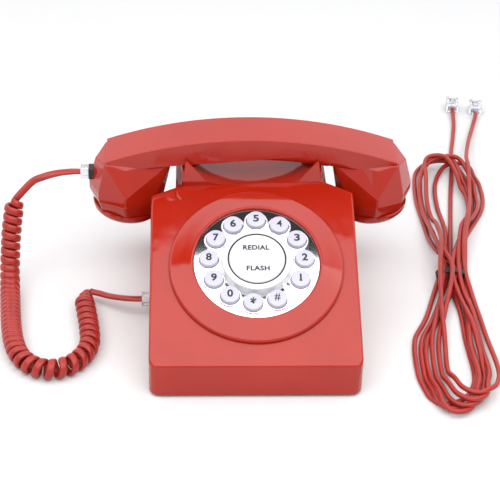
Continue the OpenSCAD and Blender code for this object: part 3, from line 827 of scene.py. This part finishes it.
def handset_cord():
    """Straight lead, curled run and straight lead, as one length of flat cord."""
    step_mm = 0.2
    step = step_mm * MM
    coil_radius = 0.0052
    taper = 0.005
    points_a_turn = 18
    axis = even(flowing([Vector(p) / 1000 for p in COIL_AXIS]), step)
    length = step * (len(axis) - 1)
    side = Vector((0, 1, 0))
    turn = 0.0
    curl, facing = [], []
    for i, point in enumerate(axis):
        along = (axis[min(i + 1, len(axis) - 1)] - axis[max(i - 1, 0)]).normalized()
        side = (side - along * side.dot(along)).normalized()
        other = side.cross(along)
        s = i * step
        pitch = coil_pitch(s / length)
        turn += math.tau * step_mm / pitch
        if i % max(1, round(pitch / points_a_turn / step_mm)) == 0:
            reach = coil_radius * min(1, (s + step) / taper, (length - s + step) / taper)
            outward = side * math.cos(turn) + other * math.sin(turn)
            curl.append(point + outward * reach)
            facing.append(outward)
    start = [Vector(p) / 1000 for p in HANDSET_LEAD]
    end = [Vector(p) / 1000 for p in BASE_LEAD]
    lead_in = flowing([*start, curl[0], curl[2], curl[4]], 8)[:8 * len(start)]
    lead_out = flowing([curl[-5], curl[-3], curl[-1], *end], 8)[17:]
    flat_in = [Vector((0, 0, -1)).lerp(facing[0], i / len(lead_in)) for i in range(len(lead_in))]
    flat_out = [facing[-1].lerp(Vector((0, 0, 1)), min(1, i / 20)) for i in range(len(lead_out))]
    points = lead_in + curl + lead_out
    mesh = jacket("handset_cord", points, flat_in + facing + flat_out, FLAT_WIDTH, FLAT_THICK)
    piece = shown("handset_cord", mesh, None, CORD_RED)
    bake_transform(piece)
    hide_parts("upper_lead", "cord_coil", "lower_lead")
    run_length(points)


# The line cord's route in millimetres. A turn is three points: below the tie, or above it, it goes
# down one side, round the end and back up the other. Its thickness is in metres.
LOWER_TURNS = [
    ((99.6, -70), (112, -101), (134.5, -70)),
    ((103.5, -72), (114, -106), (137, -66)),
    ((106.5, -74), (117, -111.5), (136, -76)),
    ((110.5, -70), (124, -107), (140.5, -72)),
    ((114.5, -72), (128, -105), (143.5, -70)),
    ((118.5, -68), (132, -100.5), (148.5, -74)),
]
UPPER_TURNS = [
    ((171.5, 148), (161, 178.5), (136.5, 121)),
    ((163.5, 143), (141, 178), (122.5, 130)),
    ((160.5, 137), (146, 178.5), (126, 126)),
    ((166, 140), (150, 176), (124.5, 118)),
    ((158, 128), (139, 174), (129, 120)),
]
FIRST_TAIL = [
    (167, 262), (166.2, 250), (164.4, 235), (160.5, 214), (157, 196), (155.1, 179), (149.1, 141),
    (143.4, 101), (139.9, 75.6), (136, 52),
]
LAST_TAIL = [
    (147, 65), (156, 103), (161, 133.8), (164, 162), (165.5, 179), (171, 205), (176.5, 226), (180.5, 240),
    (184, 252), (184.6, 258),
]
LINE_THICK = 0.003


def line_cord():
    """Plug to plug: down to the tie, six turns below it and five above, and back up."""
    flat = list(FIRST_TAIL)
    slots = [-7.5, -4.5, -1.5, 1.5, 4.5, 7.5]    # strands side by side through the tie
    for k, (left, bottom, right) in enumerate(LOWER_TURNS):
        a = 134.5 + slots[(k * 2) % 5] * 0.9 - 1.5
        b = 138 + slots[(k * 2 + 1) % 6] * 0.8
        flat += [(a, 32), (0.5 * (a + left[0]) - 0.5, -12), (left[0] + 2, left[1] + 32), left]
        flat += [(left[0] + 2.5, left[1] - 17), ((left[0] + bottom[0]) / 2 - 1, bottom[1] + 6), bottom]
        flat += [((right[0] + bottom[0]) / 2 + 1, bottom[1] + 5), (right[0] - 3, right[1] - 15), right]
        flat += [(right[0] - 0.5, right[1] + 32), (0.5 * (b + right[0]) + 0.5, -10), (b, 32)]
        if k < len(UPPER_TURNS):
            right, top, left = UPPER_TURNS[k]
            flat += [(0.55 * b + 0.45 * right[0] - 1, 78), (right[0] - 3, right[1] - 30), right]
            flat += [(right[0] - 2, right[1] + 14), ((right[0] + top[0]) / 2 + 1.5, top[1] - 4), top]
            flat += [((left[0] + top[0]) / 2 - 1, top[1] - 6), (left[0] + 2.5, left[1] + 30), left]
            flat += [(left[0] + 1.5, left[1] - 32), (0.5 * (left[0] + 132), 60)]
    flat += LAST_TAIL
    run = even(flowing([Vector((x + 1, y + 3.5, 1.5)) / 1000 for x, y in flat], 10), 0.003)
    for point, level in zip(run, lay_down(run, LINE_THICK)):
        point.z = level
    rising = 16    # points at each end that climb to the plug
    plug_lift = 0.0019
    for i in range(rising):
        lift = (1 - i / rising) ** 2 * plug_lift
        run[i].z += lift
        run[-1 - i].z += lift
    run = even(flowing(run, 3), 0.0022)
    ups = [Vector((0, 0, 1))] * len(run)
    mesh = jacket("line_cord", run, ups, 0.0031, LINE_THICK, 10)
    piece = shown("line_cord", mesh, "base", CORD_RED)
    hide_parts("line_hank")
    run_length(run)


def line_plug_pair():
    """Two clear six-position plugs, each with its latch, cable clamp and four gilt contacts."""
    bodies, contacts = [], []
    nose_up = Matrix.Rotation(math.radians(9), 4, "X")
    contact_pitch = 1.02
    for x, y, turn in ((168, 266, -6), (185.6, 262, -8)):
        place = Matrix.Translation((x, y, 0)) @ Matrix.Rotation(math.radians(turn), 4, "Z") @ nose_up
        shell = carved(
            eased(slab(-4.83, 4.83, 0, 12.3, 0.4, 6.6), 0.45, 2),
            ("DIFFERENCE", slab(-3.6, 3.6, -1, 6.2, 1.6, 5.4)),
            ("DIFFERENCE", slab(-2.6, 2.6, 5, 8.5, 4.2, 8)),
            ("DIFFERENCE", slab(-2.7, 2.7, 9.2, 13, 4.6, 8)),
        )
        latch_side = [(11.6, 6.5), (11.2, 7.3), (1, 8.6), (1, 9.4)]
        latch = hull([(half, y, z) for y, z in latch_side for half in (-1.6, 1.6)])
        for k in range(4):
            left = -1.93 + contact_pitch * k
            blade = slab(left, left + 0.4, 9.3, 12.1, 2.8, 5.6)
            blade.transform(place)
            contacts.append(blade)
        for solid in (shell, latch):
            solid.transform(place)
            bodies.append(solid)
    finished(together(*bodies), "line_plug_pair", "base", CLEAR, "line_plugs")
    finished(together(*contacts), "line_plug_contacts", "base", GILT)


def tie_band():
    """Soft black band wound round the middle of the line cord."""
    solids = []
    for inset in (0.0, 0.8):
        angles = [math.tau * k / 40 for k in range(40)]
        outline = [((10.2 - inset) * math.cos(a), 4.2 + (4.2 - inset) * math.sin(a)) for a in angles]
        solids.append(prism(outline, -2.6 - inset, 2.6 + inset, "Y"))
    band = carved(solids[0], ("DIFFERENCE", solids[1]))
    band = eased(band, 0.3, 2, 60)
    band.transform(Matrix.Translation((135, 35.5, 0)))
    finished(band, "tie_band", "base", BLACK, "twist_tie")


def lay_down(run, thick):
    """Heights of a cord laid down from its start: where it comes upon itself, it lies on top."""
    cell = 0.004
    apart = 8            # points nearer than this along the cord are its own neighbours
    ramp = 10            # points over which it climbs and comes down
    climb = 0.0004       # rise from one point to the next
    need = [thick / 2] * len(run)
    cells = {}
    for i, p in enumerate(run):
        cells.setdefault((int(p.x // cell), int(p.y // cell)), []).append(i)
    for i, p in enumerate(run):
        cx, cy = int(p.x // cell), int(p.y // cell)
        for x in (cx - 1, cx, cx + 1):
            for y in (cy - 1, cy, cy + 1):
                for j in cells.get((x, y), ()):
                    if j < i - apart:
                        gap = math.hypot(run[j].x - p.x, run[j].y - p.y)
                        if gap < thick:
                            need[i] = max(need[i], need[j] + math.sqrt(thick ** 2 - gap ** 2))
        for j in range(max(0, i - ramp), i):
            need[j] = max(need[j], need[i] - (i - j) * climb)
            need[i] = max(need[i], need[j] - (i - j) * climb)
    for _ in range(3):
        need = [need[0], *[(a + 2 * b + c) / 4 for a, b, c in zip(need, need[1:], need[2:])], need[-1]]
    return need


handset_cord()
line_cord()
line_plug_pair()
tie_band()


# ---------- Floor and light ----------

def studio():
    """Pale floor, a room that is lighter behind, and one softbox overhead."""
    bm = bmesh.new()
    bmesh.ops.create_grid(bm, x_segments=1, y_segments=1, size=6)
    floor = bpy.data.objects.new("floor", to_mesh(bm, "floor"))
    bpy.context.scene.collection.objects.link(floor)
    paper = Finish("pale_floor", Roughness=0.9)
    clouds = paper.noise(paper.place(), 0.002)
    paper.feed("Base Color", paper.mix(clouds, rgb(0.68, 0.68, 0.68), rgb(0.7, 0.7, 0.7)))
    floor.data.materials.append(paper.material)
    world = bpy.data.worlds.new("studio_walls")
    world.use_nodes = True
    tree = world.node_tree
    way = tree.nodes.new("ShaderNodeTexCoord")
    split = tree.nodes.new("ShaderNodeSeparateXYZ")
    tree.links.new(way.outputs["Generated"], split.inputs[0])
    behind = tree.nodes.new("ShaderNodeMapRange")
    behind.inputs["From Min"].default_value = -0.1
    behind.inputs["From Max"].default_value = 0.2
    tree.links.new(split.outputs["Y"], behind.inputs["Value"])
    both = tree.nodes.new("ShaderNodeMix")
    both.data_type = "RGBA"
    tree.links.new(behind.outputs[0], both.inputs[0])
    walls = (
        (6, [(0.0, 0.75), (0.5, 0.75), (0.6, 0.5), (0.7, 0.3)]),
        (7, [(0.0, 1.15), (0.66, 1.2), (0.74, 2.3), (0.85, 2.3), (0.9, 0.05), (1.0, 0.03)]),
    )
    for socket, stops in walls:
        ramp = tree.nodes.new("ShaderNodeValToRGB")
        tree.links.new(split.outputs["Z"], ramp.inputs[0])
        for spot, _ in stops[:-2]:
            ramp.color_ramp.elements.new(spot)
        for stop, (spot, glow) in zip(ramp.color_ramp.elements, stops):
            stop.position = spot
            stop.color = rgb(glow, glow, glow * 1.02)
        tree.links.new(ramp.outputs[0], both.inputs[socket])
    tree.links.new(both.outputs[2], tree.nodes["Background"].inputs["Color"])
    bpy.context.scene.world = world
    panel = bpy.data.lights.new("overhead_softbox", "AREA")
    panel.shape = "RECTANGLE"
    panel.size = 2.4
    panel.size_y = 1.73
    panel.energy = 34
    lamp = bpy.data.objects.new("overhead_softbox", panel)
    back_edge = 0.152    # the edge that shows as the line across the face
    lamp.location = (0, back_edge - panel.size_y / 2, 1.2)
    lamp.visible_camera = False
    bpy.context.scene.collection.objects.link(lamp)
    bpy.context.scene.view_settings.view_transform = "Standard"


studio()
